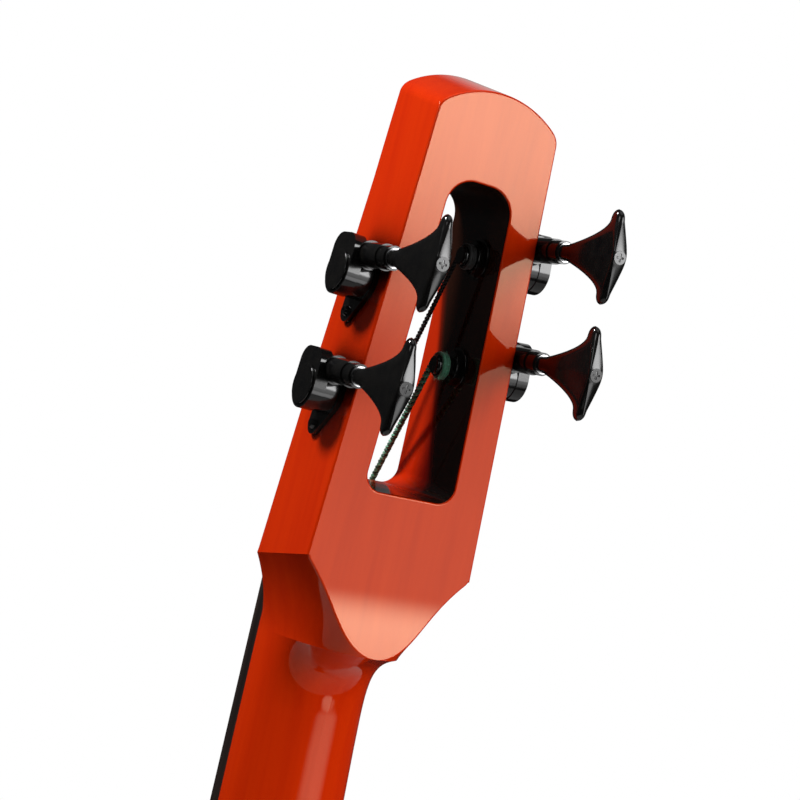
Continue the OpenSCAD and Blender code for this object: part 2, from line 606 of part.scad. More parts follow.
module pot(z) color(steel) stand() translate([control_x, body_front, z]) rotate([-90, 0, 0]) difference() {
    union() {
        translate([0, 0, 7.04]) cylinder(d = 18, h = 9);
        translate([0, 0, -3]) cylinder(d = 8, h = 11);
        translate([0, 0, -2.6]) cylinder(d = 12.6, h = 2.58, $fn = 6);
    }
    translate([0, 0, -4]) cylinder(d = 6 + 2 * fit, h = 18);
}
module volume_pot() pot(control_z[0]);
module tone_pot() pot(control_z[1]);
module knob(z) color(black) stand() translate([control_x, body_front, z]) rotate([-90, 0, 0]) difference() {
    union() {
        translate([0, 0, -17]) cylinder(d1 = 17, d2 = 19, h = 13.6);
        translate([0, 0, -5]) cylinder(d = 6, h = 15);
    }
    translate([0, 0, -3.4 - 3]) difference() {
        cylinder(d = 14.5, h = 5);
        translate([0, 0, -1]) cylinder(d = 6, h = 7);
    }
    translate([-0.5, -10, -18]) cube([1, 7, 1.8]);
}
module volume_knob() knob(control_z[0]);
module tone_knob() knob(control_z[1]);

module output_jack() color(steel) stand() translate([control_x, body_front, jack_z]) rotate([-90, 0, 0])
    difference() {
    union() {
        translate([0, 0, -3]) cylinder(d = 10, h = 24);
        translate([0, 0, -2.2]) cylinder(d = 14.6, h = 2.18, $fn = 6);
        translate([0, 0, 7.04]) cylinder(d = 16, h = 10);
    }
    translate([0, 0, -4]) cylinder(d = 6.4, h = 19);
}

// ---- stand socket ----
stand_holes = [[-22, -36], [22, -36], [-22, 36], [22, 36]];
module stand_plate() color(black) difference() {
    union() {
        stand() translate([-29.8, body_back - 3.98, stand_z - 44.8]) cube([59.6, 3.98, 89.6]);
        stand() translate([0, body_back - 3, stand_z]) rotate([90, 0, 0]) cylinder(d = 16, h = 24);
    }
    stand() translate([0, body_back + 1, stand_z]) rotate([90, 0, 0]) cylinder(r = stand_r, h = 25);
    for (p = stand_holes) stand() translate([p[0], body_back + 1, stand_z + p[1]]) rotate([90, 0, 0])
        cylinder(d = 4, h = 8);
}
module stand_screws() color(steel) for (p = stand_holes) stand()
    translate([p[0], body_back, stand_z + p[1]]) wood_screw(7, 3.2, 24);

neck();
fingerboard();
nut();
side_dots();
truss_rod();
truss_nut();
body();
neck_plate();
neck_bolts();
bridge();
bridge_pickups();
pickup_lead();
tail_anchor();
anchor_screws();
string(E);  // string_e
string(A);  // string_a
string(D);  // string_d
string(G);  // string_g
tuner_bushings();
tuner_washers();
tuner_screws();
housing(E);  // housing_e
housing(A);  // housing_a
housing(D);  // housing_d
housing(G);  // housing_g
gear_cover(E);  // gear_cover_e
gear_cover(A);  // gear_cover_a
gear_cover(D);  // gear_cover_d
gear_cover(G);  // gear_cover_g
post(E);  // post_e
post(A);  // post_a
post(D);  // post_d
post(G);  // post_g
winding(E);  // winding_e
winding(A);  // winding_a
winding(D);  // winding_d
winding(G);  // winding_g
worm(E);  // worm_e
worm(A);  // worm_a
worm(D);  // worm_d
worm(G);  // worm_g
key(E);  // key_e
key(A);  // key_a
key(D);  // key_d
key(G);  // key_g
key_screw(E);  // key_screw_e
key_screw(A);  // key_screw_a
key_screw(D);  // key_screw_d
key_screw(G);  // key_screw_g
cavity_cover();
cover_screws();
volume_pot();
tone_pot();
volume_knob();
tone_knob();
output_jack();
stand_plate();
stand_screws();
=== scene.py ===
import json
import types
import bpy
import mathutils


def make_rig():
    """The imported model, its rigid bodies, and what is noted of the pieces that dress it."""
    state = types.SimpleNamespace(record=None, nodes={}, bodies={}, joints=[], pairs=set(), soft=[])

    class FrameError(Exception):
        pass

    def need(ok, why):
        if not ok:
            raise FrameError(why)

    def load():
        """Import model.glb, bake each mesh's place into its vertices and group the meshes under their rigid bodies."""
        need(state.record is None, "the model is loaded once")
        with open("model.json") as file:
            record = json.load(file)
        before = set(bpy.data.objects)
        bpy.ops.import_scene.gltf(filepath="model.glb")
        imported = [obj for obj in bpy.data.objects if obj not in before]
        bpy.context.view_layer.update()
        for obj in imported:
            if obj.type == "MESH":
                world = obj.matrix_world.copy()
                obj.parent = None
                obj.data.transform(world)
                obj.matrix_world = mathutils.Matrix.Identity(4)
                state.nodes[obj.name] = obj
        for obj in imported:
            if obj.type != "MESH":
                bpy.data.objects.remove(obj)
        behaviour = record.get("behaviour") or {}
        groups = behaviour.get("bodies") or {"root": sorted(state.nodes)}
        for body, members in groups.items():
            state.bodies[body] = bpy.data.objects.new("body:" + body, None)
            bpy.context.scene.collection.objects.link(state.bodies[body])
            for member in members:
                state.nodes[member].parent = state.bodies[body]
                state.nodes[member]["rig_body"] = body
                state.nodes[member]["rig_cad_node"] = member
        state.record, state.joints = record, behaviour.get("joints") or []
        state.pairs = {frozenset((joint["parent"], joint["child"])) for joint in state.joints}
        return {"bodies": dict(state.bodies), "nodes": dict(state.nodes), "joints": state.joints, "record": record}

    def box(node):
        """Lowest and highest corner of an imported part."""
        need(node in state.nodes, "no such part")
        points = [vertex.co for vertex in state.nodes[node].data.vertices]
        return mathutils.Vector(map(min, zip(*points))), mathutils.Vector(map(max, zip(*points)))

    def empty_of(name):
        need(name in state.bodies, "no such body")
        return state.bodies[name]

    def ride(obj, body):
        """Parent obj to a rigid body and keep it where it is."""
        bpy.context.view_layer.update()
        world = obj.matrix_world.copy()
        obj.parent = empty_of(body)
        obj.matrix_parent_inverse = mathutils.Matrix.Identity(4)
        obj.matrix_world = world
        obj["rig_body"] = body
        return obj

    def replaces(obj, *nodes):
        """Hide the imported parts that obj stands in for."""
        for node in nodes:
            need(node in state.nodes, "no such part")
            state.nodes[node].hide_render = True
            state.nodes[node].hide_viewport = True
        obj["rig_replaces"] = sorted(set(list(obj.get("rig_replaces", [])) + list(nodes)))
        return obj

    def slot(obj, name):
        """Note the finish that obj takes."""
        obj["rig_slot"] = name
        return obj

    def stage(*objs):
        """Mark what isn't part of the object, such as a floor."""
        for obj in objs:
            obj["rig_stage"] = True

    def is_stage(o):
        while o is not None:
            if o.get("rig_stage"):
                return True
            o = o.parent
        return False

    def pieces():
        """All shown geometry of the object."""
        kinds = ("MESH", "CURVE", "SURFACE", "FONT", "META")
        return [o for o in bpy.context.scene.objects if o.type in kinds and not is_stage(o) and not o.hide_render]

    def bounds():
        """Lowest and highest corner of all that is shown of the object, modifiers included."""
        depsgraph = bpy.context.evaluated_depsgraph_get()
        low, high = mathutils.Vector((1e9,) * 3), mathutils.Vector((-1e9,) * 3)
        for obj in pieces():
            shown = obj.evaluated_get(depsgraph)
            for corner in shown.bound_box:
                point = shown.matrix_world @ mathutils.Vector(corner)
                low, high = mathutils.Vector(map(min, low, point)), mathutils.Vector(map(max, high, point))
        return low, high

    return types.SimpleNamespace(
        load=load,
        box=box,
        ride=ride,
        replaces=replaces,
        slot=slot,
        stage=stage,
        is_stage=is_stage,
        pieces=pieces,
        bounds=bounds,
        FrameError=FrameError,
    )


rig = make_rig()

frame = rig.load()

import json
import math
import random

import bmesh
import bpy
from mathutils import Matrix, Vector

# The visual model of the double bass. Lengths are in metres unless a name ends in _mm.
CAD_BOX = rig.bounds()
NODES = frame["nodes"]
JOINTS = {j["name"]: j for j in frame["joints"]}
MM = 0.001
MACHINES = ["e", "a", "d", "g"]
SIDE = {"e": -1, "a": -1, "d": 1, "g": 1}
INSTRUMENT = "instrument"

# Sizes that repeat part.scad, in millimetres
POST_R = 4.0
SHAFT_OUT = 5.9
WORM_GAP = 8.5
WINDING_START, WINDING_W, WINDING_ROWS = 0.6, 3.9, 3
STRING_R = {"e": 1.25, "a": 1.0, "d": 0.8, "g": 0.65}
WINDING_R = {"e": 5.6, "a": 5.4, "d": 5.1, "g": 5.0}
KEY_ROOT, KEY_END, KEY_SPAN, KEY_THICK = 30.1, 67.2, 37.0, 7.0
BODY_TOP, BODY_LOW, BODY_FRONT, BODY_BACK = -560.0, -1245.0, 28.0, 84.0
STAND_Z = -900.0
HEAD_W, HEAD_TOP_W, HEAD_CORNER, HEAD_ARC = 74.8, 56.0, 181.6, 43.0
HEAD_D, HEAD_TOP_D, HEAD_BACK, HEAD_ROOT = 45.4, 36.5, 54.9, -16.0
BLOCK_TOP = 8.0
FRONT_D, FRONT_IN = 7.5, 8.0
HEAD_TILT = math.radians(4)
SHOULDER_DROP, TOP_RISE = 9.0, 8.0
TONGUE_LEN, TONGUE_R = 36.0, 24.0
SLOT_LOW, SLOT_HIGH, SLOT_LOW_R, SLOT_HIGH_R = 29.0, 155.5, 7.0, 11.0
NECK_D, NUT_W, FLARE = 26.5, 48.4, 0.022
HEEL_TOP, HEEL_LOW = -590.0, -700.0
EDGE = 0.9


# ---- camera ----
def add_camera():
    data = bpy.data.cameras.new("camera")
    data.sensor_width = 36.0
    data.lens = 74.7
    data.clip_end = 50.0
    cam = bpy.data.objects.new("camera", data)
    bpy.context.scene.collection.objects.link(cam)
    forward = Vector((-0.4759, -0.8786, 0.0398)).normalized()
    up = Vector((0.199, -0.0635, 0.978))
    right = forward.cross(up).normalized()
    up = right.cross(forward)
    turn = Matrix((right, up, -forward)).transposed().to_4x4()
    cam.matrix_world = Matrix.Translation((0.3222, 0.5444, 0.9239)) @ turn
    bpy.context.scene.camera = cam


add_camera()


# ---- materials ----
def new_material(name):
    mat = bpy.data.materials.new(name)
    mat.use_nodes = True
    tree = mat.node_tree
    tree.nodes.clear()
    out = tree.nodes.new("ShaderNodeOutputMaterial")
    bsdf = tree.nodes.new("ShaderNodeBsdfPrincipled")
    tree.links.new(bsdf.outputs[0], out.inputs[0])
    return mat, tree, bsdf


def noise(tree, stretch, scale, detail=3.0, rough=0.5):
    coord = tree.nodes.new("ShaderNodeTexCoord")
    mapping = tree.nodes.new("ShaderNodeMapping")
    mapping.inputs["Scale"].default_value = stretch
    tex = tree.nodes.new("ShaderNodeTexNoise")
    tex.inputs["Scale"].default_value = scale
    tex.inputs["Detail"].default_value = detail
    tex.inputs["Roughness"].default_value = rough
    tree.links.new(coord.outputs["Object"], mapping.inputs[0])
    tree.links.new(mapping.outputs[0], tex.inputs["Vector"])
    return tex.outputs["Fac"]


def ramp(tree, value, stops):
    node = tree.nodes.new("ShaderNodeValToRGB")
    node.color_ramp.elements[0].position = stops[0][0]
    node.color_ramp.elements[0].color = (*stops[0][1], 1)
    node.color_ramp.elements[1].position = stops[-1][0]
    node.color_ramp.elements[1].color = (*stops[-1][1], 1)
    for place, color in stops[1:-1]:
        node.color_ramp.elements.new(place).color = (*color, 1)
    tree.links.new(value, node.inputs[0])
    return node.outputs[0]


def span(tree, value, low, high):
    node = tree.nodes.new("ShaderNodeMapRange")
    node.inputs["To Min"].default_value = low
    node.inputs["To Max"].default_value = high
    tree.links.new(value, node.inputs["Value"])
    return node.outputs[0]


def bump(tree, bsdf, value, strength, distance):
    node = tree.nodes.new("ShaderNodeBump")
    node.inputs["Strength"].default_value = strength
    node.inputs["Distance"].default_value = distance
    tree.links.new(value, node.inputs["Height"])
    tree.links.new(node.outputs[0], bsdf.inputs["Normal"])


def simple(name, dark, light, rough, stretch=(1, 1, 1), scale=60.0, metallic=0.0, peel=0.08,
           peel_scale=900.0, ior=1.5, coat=0.0, sheen=0.0):
    """Two tones mixed by noise, a little variation in gloss, and a fine bump."""
    mat, tree, bsdf = new_material(name)
    bsdf.inputs["Metallic"].default_value = metallic
    bsdf.inputs["IOR"].default_value = ior
    bsdf.inputs["Coat Weight"].default_value = coat
    bsdf.inputs["Coat Roughness"].default_value = 0.04
    bsdf.inputs["Sheen Weight"].default_value = sheen
    tone = noise(tree, stretch, scale)
    tree.links.new(ramp(tree, tone, [(0.3, dark), (0.7, light)]), bsdf.inputs["Base Color"])
    tree.links.new(span(tree, tone, rough * 0.8, rough * 1.2), bsdf.inputs["Roughness"])
    bump(tree, bsdf, noise(tree, stretch, peel_scale, 2.0), peel, 0.0001)
    return mat


def lacquer():
    """Clear red lacquer over maple: faint long grain, with painted shade that makes it darker and less glossy in
    hollows.
    """
    mat, tree, bsdf = new_material("red_lacquer")
    grain = noise(tree, (140, 140, 6), 1.0, 6.0, 0.6)
    cloud = noise(tree, (9, 9, 3), 1.0, 2.0)
    red = ramp(tree, grain, [(0.25, (0.66, 0.024, 0.001)), (0.5, (0.72, 0.031, 0.001)),
                             (0.75, (0.76, 0.037, 0.001))])
    mix = tree.nodes.new("ShaderNodeMix")
    mix.data_type = "RGBA"
    mix.blend_type = "MULTIPLY"
    mix.inputs["Factor"].default_value = 0.2
    tree.links.new(red, mix.inputs["A"])
    tree.links.new(ramp(tree, cloud, [(0.3, (0.82, 0.7, 0.6)), (0.7, (1, 1, 1))]), mix.inputs["B"])
    # Painted shade: an ambient-occlusion mask darkens the base colour and lowers the gloss in hollows and under
    # overhangs.
    painted_shade_ao = tree.nodes.new("ShaderNodeAmbientOcclusion")
    painted_shade_ao.samples = 8
    painted_shade_ao.inputs["Distance"].default_value = 0.06
    painted_shade_factor = tree.nodes.new("ShaderNodeMapRange")
    painted_shade_factor.inputs["From Min"].default_value = 0.5
    painted_shade_factor.inputs["From Max"].default_value = 0.94
    painted_shade_factor.inputs["To Min"].default_value = 0.1
    tree.links.new(painted_shade_ao.outputs["AO"], painted_shade_factor.inputs["Value"])
    shade_darkened_colour = tree.nodes.new("ShaderNodeVectorMath")
    shade_darkened_colour.operation = "SCALE"
    tree.links.new(mix.outputs["Result"], shade_darkened_colour.inputs[0])
    tree.links.new(painted_shade_factor.outputs[0], shade_darkened_colour.inputs["Scale"])
    tree.links.new(shade_darkened_colour.outputs[0], bsdf.inputs["Base Color"])
    tree.links.new(span(tree, painted_shade_factor.outputs[0], 0.05, 0.5), bsdf.inputs["Specular IOR Level"])
    tree.links.new(span(tree, grain, 0.035, 0.055), bsdf.inputs["Roughness"])
    bsdf.inputs["IOR"].default_value = 1.5
    bsdf.inputs["Specular Tint"].default_value = (1.0, 0.72, 0.47, 1)
    bump(tree, bsdf, noise(tree, (60, 60, 30), 1.0, 2.0), 0.03, 0.0002)
    return mat


def painted_slot_shadow():
    """The inside of the slot: painted shadow, dark brown-red over most of the wall, fading to lit red towards the
    front of the head.
    """
    mat, tree, bsdf = new_material("slot_painted_shadow")
    coord = tree.nodes.new("ShaderNodeTexCoord")
    part = tree.nodes.new("ShaderNodeSeparateXYZ")
    tree.links.new(coord.outputs["Object"], part.inputs[0])
    # Painted shadow: a tilted plane through the slot separates the lit red front strip from the shadowed dark rest of
    # the wall.
    lean = tree.nodes.new("ShaderNodeMath")
    lean.operation = "MULTIPLY_ADD"
    lean.inputs[1].default_value = 0.178
    tree.links.new(part.outputs["Z"], lean.inputs[0])
    tree.links.new(part.outputs["Y"], lean.inputs[2])
    depth = tree.nodes.new("ShaderNodeMapRange")
    depth.interpolation_type = "SMOOTHSTEP"
    depth.inputs["From Min"].default_value = 0.112
    depth.inputs["From Max"].default_value = 0.120
    tree.links.new(lean.outputs[0], depth.inputs["Value"])
    tree.links.new(ramp(tree, depth.outputs[0], [(0.0, (0.62, 0.026, 0.002)), (0.45, (0.16, 0.009, 0.002)),
                                                 (1.0, (0.022, 0.006, 0.003))]), bsdf.inputs["Base Color"])
    tree.links.new(span(tree, noise(tree, (60, 60, 30), 1.0), 0.05, 0.09), bsdf.inputs["Roughness"])
    bump(tree, bsdf, noise(tree, (60, 60, 30), 1.0, 2.0), 0.05, 0.0002)
    return mat


def wound(name, dark, light, turns_per_m, rough, metallic, sheen=0.0):
    """Wire or thread wrapped round a core: bands across the length."""
    mat, tree, bsdf = new_material(name)
    coord = tree.nodes.new("ShaderNodeTexCoord")
    wave = tree.nodes.new("ShaderNodeTexWave")
    wave.bands_direction = "Z"
    wave.inputs["Scale"].default_value = turns_per_m / 20.0
    wave.inputs["Distortion"].default_value = 0.4
    tree.links.new(coord.outputs["Object"], wave.inputs["Vector"])
    tree.links.new(ramp(tree, wave.outputs["Fac"], [(0.1, dark), (0.8, light)]), bsdf.inputs["Base Color"])
    tree.links.new(span(tree, wave.outputs["Fac"], rough * 1.3, rough), bsdf.inputs["Roughness"])
    bsdf.inputs["Metallic"].default_value = metallic
    bsdf.inputs["Sheen Weight"].default_value = sheen
    bump(tree, bsdf, wave.outputs["Fac"], 0.5, 0.0001)
    return mat


MATERIALS = {
    "red_lacquer": lacquer(),
    "slot_painted_shadow": painted_slot_shadow(),
    "ebony": simple("ebony", (0.010, 0.006, 0.005), (0.026, 0.015, 0.011), 0.5, (1, 1, 0.04), 260.0,
                    peel=0.25, peel_scale=700.0),
    "bone": simple("bone", (0.66, 0.60, 0.46), (0.80, 0.75, 0.62), 0.3, (1, 1, 0.3), 160.0),
    "pearl": simple("pearl", (0.66, 0.68, 0.66), (0.86, 0.84, 0.80), 0.15, scale=420.0, coat=0.5),
    "maple": simple("maple", (0.50, 0.30, 0.13), (0.68, 0.46, 0.23), 0.45, (1, 6, 6), 40.0, peel=0.3),
    "steel": simple("steel", (0.46, 0.46, 0.47), (0.66, 0.66, 0.67), 0.24, scale=300.0, metallic=1.0),
    "washer_steel": simple("washer_steel", (0.24, 0.24, 0.25), (0.4, 0.4, 0.42), 0.35, scale=300.0,
                           metallic=0.3),
    "brass": simple("brass", (0.56, 0.40, 0.16), (0.70, 0.52, 0.24), 0.3, scale=200.0, metallic=1.0),
    "black_metal": simple("black_metal", (0.0035, 0.0035, 0.0038), (0.007, 0.0065, 0.006), 0.13,
                          scale=240.0, peel=0.05, peel_scale=1500.0, ior=1.55),
    "black_plastic": simple("black_plastic", (0.010, 0.010, 0.010), (0.020, 0.020, 0.020), 0.4,
                            scale=500.0, peel=0.2),
    "lead_rubber": simple("lead_rubber", (0.010, 0.010, 0.010), (0.022, 0.022, 0.022), 0.55, scale=500.0),
    "string_steel": wound("string_steel", (0.22, 0.22, 0.23), (0.50, 0.50, 0.51), 2400.0, 0.3, 1.0),
    "green_silk": simple("green_silk", (0.004, 0.060, 0.028), (0.015, 0.19, 0.09), 0.5, (1, 1, 3), 900.0,
                         peel=0.8, peel_scale=2600.0, sheen=0.5),
    "green_fray": simple("green_fray", (0.05, 0.32, 0.17), (0.22, 0.66, 0.42), 0.6, scale=700.0, sheen=0.6),
    "black_silk": simple("black_silk", (0.006, 0.006, 0.006), (0.02, 0.02, 0.02), 0.5, (1, 1, 3), 900.0,
                         peel=0.8, peel_scale=2600.0, sheen=0.2),
    "brown_silk": simple("brown_silk", (0.30, 0.09, 0.02), (0.52, 0.22, 0.07), 0.6, scale=900.0, sheen=0.4),
}
SLOTS = {s["node"]: s["material_slot"] for s in frame["record"]["subparts"]}


# ---- mesh helpers ----
def finish_mesh(name, bm, material, body, slot, replaces=(), bevel=0.0, bevel_angle=35.0, segments=3,
                weight_only=False):
    bmesh.ops.remove_doubles(bm, verts=bm.verts, dist=1e-6)
    bmesh.ops.recalc_face_normals(bm, faces=bm.faces)
    mesh = bpy.data.meshes.new(name)
    bm.to_mesh(mesh)
    bm.free()
    obj = bpy.data.objects.new(name, mesh)
    bpy.context.scene.collection.objects.link(obj)
    mesh.materials.append(MATERIALS[material])
    for poly in mesh.polygons:
        poly.use_smooth = True
    if bevel:
        mod = obj.modifiers.new("round", "BEVEL")
        mod.width = bevel
        mod.segments = segments
        mod.limit_method = "WEIGHT" if weight_only else "ANGLE"
        mod.angle_limit = math.radians(bevel_angle)
        mod.miter_outer = "MITER_ARC"
        mod.use_clamp_overlap = True
        flat = obj.modifiers.new("flat_faces", "WEIGHTED_NORMAL")
        flat.keep_sharp = True
        flat.weight = 80
    else:
        mesh.set_sharp_from_angle(angle=math.radians(40))
    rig.ride(obj, body)
    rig.slot(obj, slot)
    if replaces:
        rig.replaces(obj, *replaces)
    return obj


def from_node(node, flatten=1.0):
    bm = bmesh.new()
    bm.from_mesh(NODES[node].data)
    bmesh.ops.remove_doubles(bm, verts=bm.verts, dist=1e-6)
    bmesh.ops.dissolve_limit(bm, angle_limit=math.radians(flatten), verts=bm.verts, edges=bm.edges)
    return bm


def soften(node, bevel_mm, material=None, angle=35.0, segments=3):
    """The CAD piece with its machined edges rounded."""
    return finish_mesh("soft_" + node, from_node(node), material or SLOTS[node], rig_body(node),
                       SLOTS[node], [node], bevel_mm * MM, angle, segments)


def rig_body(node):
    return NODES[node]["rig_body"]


def machine_frame(name):
    """Local millimetres to the row frame: X out of the head's side along the post, Y along the key shaft."""
    post, key = JOINTS["post_turn_" + name], JOINTS["key_turn_" + name]
    x = Vector(post["axis"]).normalized() * SIDE[name]
    y = Vector(key["axis"]).normalized()
    z = x.cross(y).normalized() * SIDE[name]
    rows = Matrix((x, y, z)).transposed().to_4x4()
    return Matrix.Translation(post["pos_m"]) @ rows @ Matrix.Scale(MM, 4)


def add_loft(bm, rings, closed=True, caps=True):
    """Skins rings of points with quads."""
    rows = [[bm.verts.new(p) for p in ring] for ring in rings]
    n = len(rows[0])
    for a, b in zip(rows, rows[1:]):
        for j in range(n if closed else n - 1):
            k = (j + 1) % n
            quad = [a[j], a[k], b[k], b[j]]
            bm.faces.new(quad)
    if caps:
        bm.faces.new(rows[0])
        bm.faces.new(list(reversed(rows[-1])))
    return rows


def tube_rings(points, radius, sides):
    """Rings carried along a path without twisting."""
    points = [Vector(p) for p in points]
    rings = []
    side = None
    for k, p in enumerate(points):
        ahead = points[min(k + 1, len(points) - 1)] - points[max(k - 1, 0)]
        ahead.normalize()
        if side is None:
            side = ahead.orthogonal().normalized()
        side = (side - ahead * side.dot(ahead)).normalized()
        up = ahead.cross(side)
        r = radius(k / (len(points) - 1)) if callable(radius) else radius
        rings.append([p + r * (math.cos(t) * side + math.sin(t) * up)
                      for t in (2 * math.pi * j / sides for j in range(sides))])
    return rings


def along(points, step):
    """The polyline with extra points so that no piece is longer than step."""
    result = [Vector(points[0])]
    for a, b in zip(points, points[1:]):
        a, b = Vector(a), Vector(b)
        count = max(1, math.ceil((b - a).length / step))
        result += [a.lerp(b, (k + 1) / count) for k in range(count)]
    return result


# ---- tuning keys ----
TIP_V, TIP_R, KEY_NECK, FOLD = KEY_SPAN / 2 - 4.3, 4.2, 3.4, 2.8


def key_edge(v):
    """The long concave sweep from a key's neck out to its tip."""
    return KEY_ROOT + 3 + 24 * (1 - max(0.0, 1 - (v - KEY_NECK) / (TIP_V - KEY_NECK)) ** 1.75)


def key_inner(v):
    """Where a key's inner edge lies along the shaft at height v."""
    if v < KEY_NECK:
        return KEY_ROOT
    if v < TIP_V:
        return key_edge(v)
    reach = math.sqrt(max(0.0, TIP_R ** 2 - (v - TIP_V) ** 2))
    centre = KEY_END - FOLD - TIP_R
    return min(centre + 0.4, key_edge(TIP_V) + (centre - key_edge(TIP_V)) * (1 - reach / TIP_R))


def key_outer(v):
    """The flat end, which folds back a little to each tip."""
    if v < TIP_V:
        return KEY_END - FOLD * (max(0.0, v - 2.4) / (TIP_V - 2.4)) ** 1.15
    reach = math.sqrt(max(0.0, TIP_R ** 2 - (v - TIP_V) ** 2))
    centre = KEY_END - FOLD - TIP_R
    return max(centre + 0.5, centre + TIP_R * (reach / TIP_R) ** 0.8)


def key_half(y, v, high):
    """Half thickness of a key at a point of its outline."""
    thick = KEY_THICK / 2 - 0.3 - 1.2 * min(1.0, v / (KEY_SPAN / 2 - 2)) ** 1.2
    start = key_inner(max(v, KEY_NECK)) if v >= KEY_NECK else KEY_ROOT + 3
    u = min(1.0, max(0.0, (y - start) / 10.0))
    wing = thick * (1 - (1 - u) ** 2.3) ** (1 / 2.3)
    if v < KEY_NECK:
        fade = max(0.0, min(1.0, (y - KEY_ROOT - 5) / 20))
        neck = math.sqrt(max(0.0, KEY_NECK ** 2 - v * v)) * (1 - 0.25 * fade)
        wing = max(wing, neck) if y < KEY_ROOT + 22 else wing
    share = min(1.0, v / 14.5) ** 1.3
    face = max(0.0, (thick - 0.35) * (1 - share))
    u = min(1.0, max(0.0, (high - y) / (0.4 + 2.8 * share)))
    wing = min(wing, face + (thick - face) * math.sqrt(1 - (1 - u) ** 2))
    tip = min(1.0, max(0.0, (KEY_SPAN / 2 - v) / 2.6))
    return max(0.02, wing * math.sqrt(tip * (2 - tip)))


def make_key(name):
    frame_m = machine_frame(name) @ Matrix.Translation((SHAFT_OUT, 0, WORM_GAP))
    bm = bmesh.new()
    half = [0.0, 0.8, 1.6, 2.4, 2.9, 3.2, 3.36, 3.42, 3.8, 4.3, 4.9, 5.7, 6.6, 7.6, 8.7, 9.8, 10.9,
            12.0, 13.0, 14.0, 15.0, 15.9, 16.7, 17.3, 17.8, 18.15, 18.38, 18.48]
    heights = [-v for v in reversed(half[1:])] + half
    rings = []
    steps = 26
    for v in heights:
        a = abs(v)
        low, high = key_inner(a), key_outer(a)
        side = []
        for k in range(steps + 1):
            y = high - (high - low) * (1 - math.cos(math.pi * k / steps)) / 2
            side.append((key_half(y, a, high), y))
        ring = [(x, y, v) for x, y in side] + [(-x, y, v) for x, y in reversed(side)]
        rings.append([frame_m @ Vector(p) for p in ring])
    add_loft(bm, rings)
    return finish_mesh("wing_key_" + name, bm, "black_metal", "tuner_key_" + name, "black_metal",
                       ["key_" + name])


def add_ring(bm, frame_m, centre, axis, radius, thick, sides=32, wire=10):
    """A torus round an axis, in a machine's local millimetres."""
    axis = Vector(axis).normalized()
    u = axis.orthogonal().normalized()
    w = axis.cross(u)
    rows = []
    for k in range(sides):
        t = 2 * math.pi * k / sides
        out = u * math.cos(t) + w * math.sin(t)
        rows.append([bm.verts.new(frame_m @ (Vector(centre) + out * radius
                                             + thick * (math.cos(s) * out + math.sin(s) * axis)))
                     for s in (2 * math.pi * j / wire for j in range(wire))])
    for k in range(sides):
        a, b = rows[k], rows[(k + 1) % sides]
        for j in range(wire):
            bm.faces.new([a[j], a[(j + 1) % wire], b[(j + 1) % wire], b[j]])


def add_lathe(bm, frame_m, axis_point, axis, profile, sides=48):
    """Revolves (distance, radius) pairs about an axis, closed at both ends."""
    axis = Vector(axis).normalized()
    u = axis.orthogonal().normalized()
    w = axis.cross(u)
    rings = []
    for d, r in profile:
        rings.append([frame_m @ (Vector(axis_point) + axis * d
                                 + max(r, 0.02) * (math.cos(t) * u + math.sin(t) * w))
                      for t in (2 * math.pi * k / sides for k in range(sides))])
    add_loft(bm, rings)


def make_key_trim(name):
    """The bright washer between tube and key, and the ring round the key's screw."""
    frame_m = machine_frame(name)
    shaft = (SHAFT_OUT, 0, WORM_GAP)
    bm = bmesh.new()
    add_lathe(bm, frame_m, shaft, (0, 1, 0), [(29.42, 3.0), (29.46, 3.7), (29.56, 3.85), (29.84, 3.85),
                                              (29.94, 3.7), (30.0, 3.0)])
    finish_mesh("washer_" + name, bm, "washer_steel", "tuner_key_" + name, "steel")
    bm = bmesh.new()
    add_ring(bm, frame_m, (SHAFT_OUT, KEY_END + 0.02, WORM_GAP), (0, 1, 0), 2.35, 0.2)
    finish_mesh("screw_ring_" + name, bm, "black_metal", "tuner_key_" + name, "black_metal")


# ---- string windings ----
def reach(name):
    """Length of a post inside the head, from its node's box, in millimetres."""
    frame_m = machine_frame(name).inverted()
    return -min((frame_m @ v.co).x for v in NODES["post_" + name].data.vertices) - 0.8


def make_winding(name):
    frame_m = machine_frame(name)
    wire = (WINDING_R[name] - POST_R) / 2
    start = WINDING_START - reach(name) + wire
    pitch = (WINDING_W - 2 * wire) / (WINDING_ROWS - 0.6)
    turns = WINDING_ROWS - 0.3
    count = int(turns * 40)
    points = []
    for k in range(count + 1):
        t = 2 * math.pi * turns * k / count
        points.append((start + pitch * t / (2 * math.pi), -(POST_R + wire) * math.cos(t),
                       (POST_R + wire) * math.sin(t)))
    bm = bmesh.new()
    add_loft(bm, [[frame_m @ p for p in ring] for ring in tube_rings(points, wire, 12)])
    material = "green_silk" if name == "e" else "black_silk"
    return finish_mesh("coil_" + name, bm, material, "string_post_" + name, SLOTS["winding_" + name],
                       ["winding_" + name])


def make_fray(name, label, material, count, length, thick, seed, spread):
    """Loose fibres that stand off a silk winding."""
    rng = random.Random(seed)
    frame_m = machine_frame(name)
    start = WINDING_START - reach(name)
    bm = bmesh.new()
    for _ in range(count):
        t = rng.uniform(*spread)
        out = Vector((0, math.cos(t), math.sin(t)))
        root = Vector((start + rng.uniform(0.2, WINDING_W), 0, 0)) + out * (WINDING_R[name] - 0.3)
        lean = Vector((rng.uniform(-0.7, 0.7), rng.uniform(-0.8, 0.8), rng.uniform(-0.8, 0.8)))
        tip = root + (out + lean * 0.8) * rng.uniform(0.3, 1.0) * length
        mid = root.lerp(tip, 0.5) + Vector((rng.uniform(-0.3, 0.3),) * 3)
        add_loft(bm, [[frame_m @ p for p in ring]
                      for ring in tube_rings([root, mid, tip], lambda s: thick * (1.1 - s), 4)])
    return finish_mesh(label, bm, material, "string_post_" + name, SLOTS["winding_" + name])


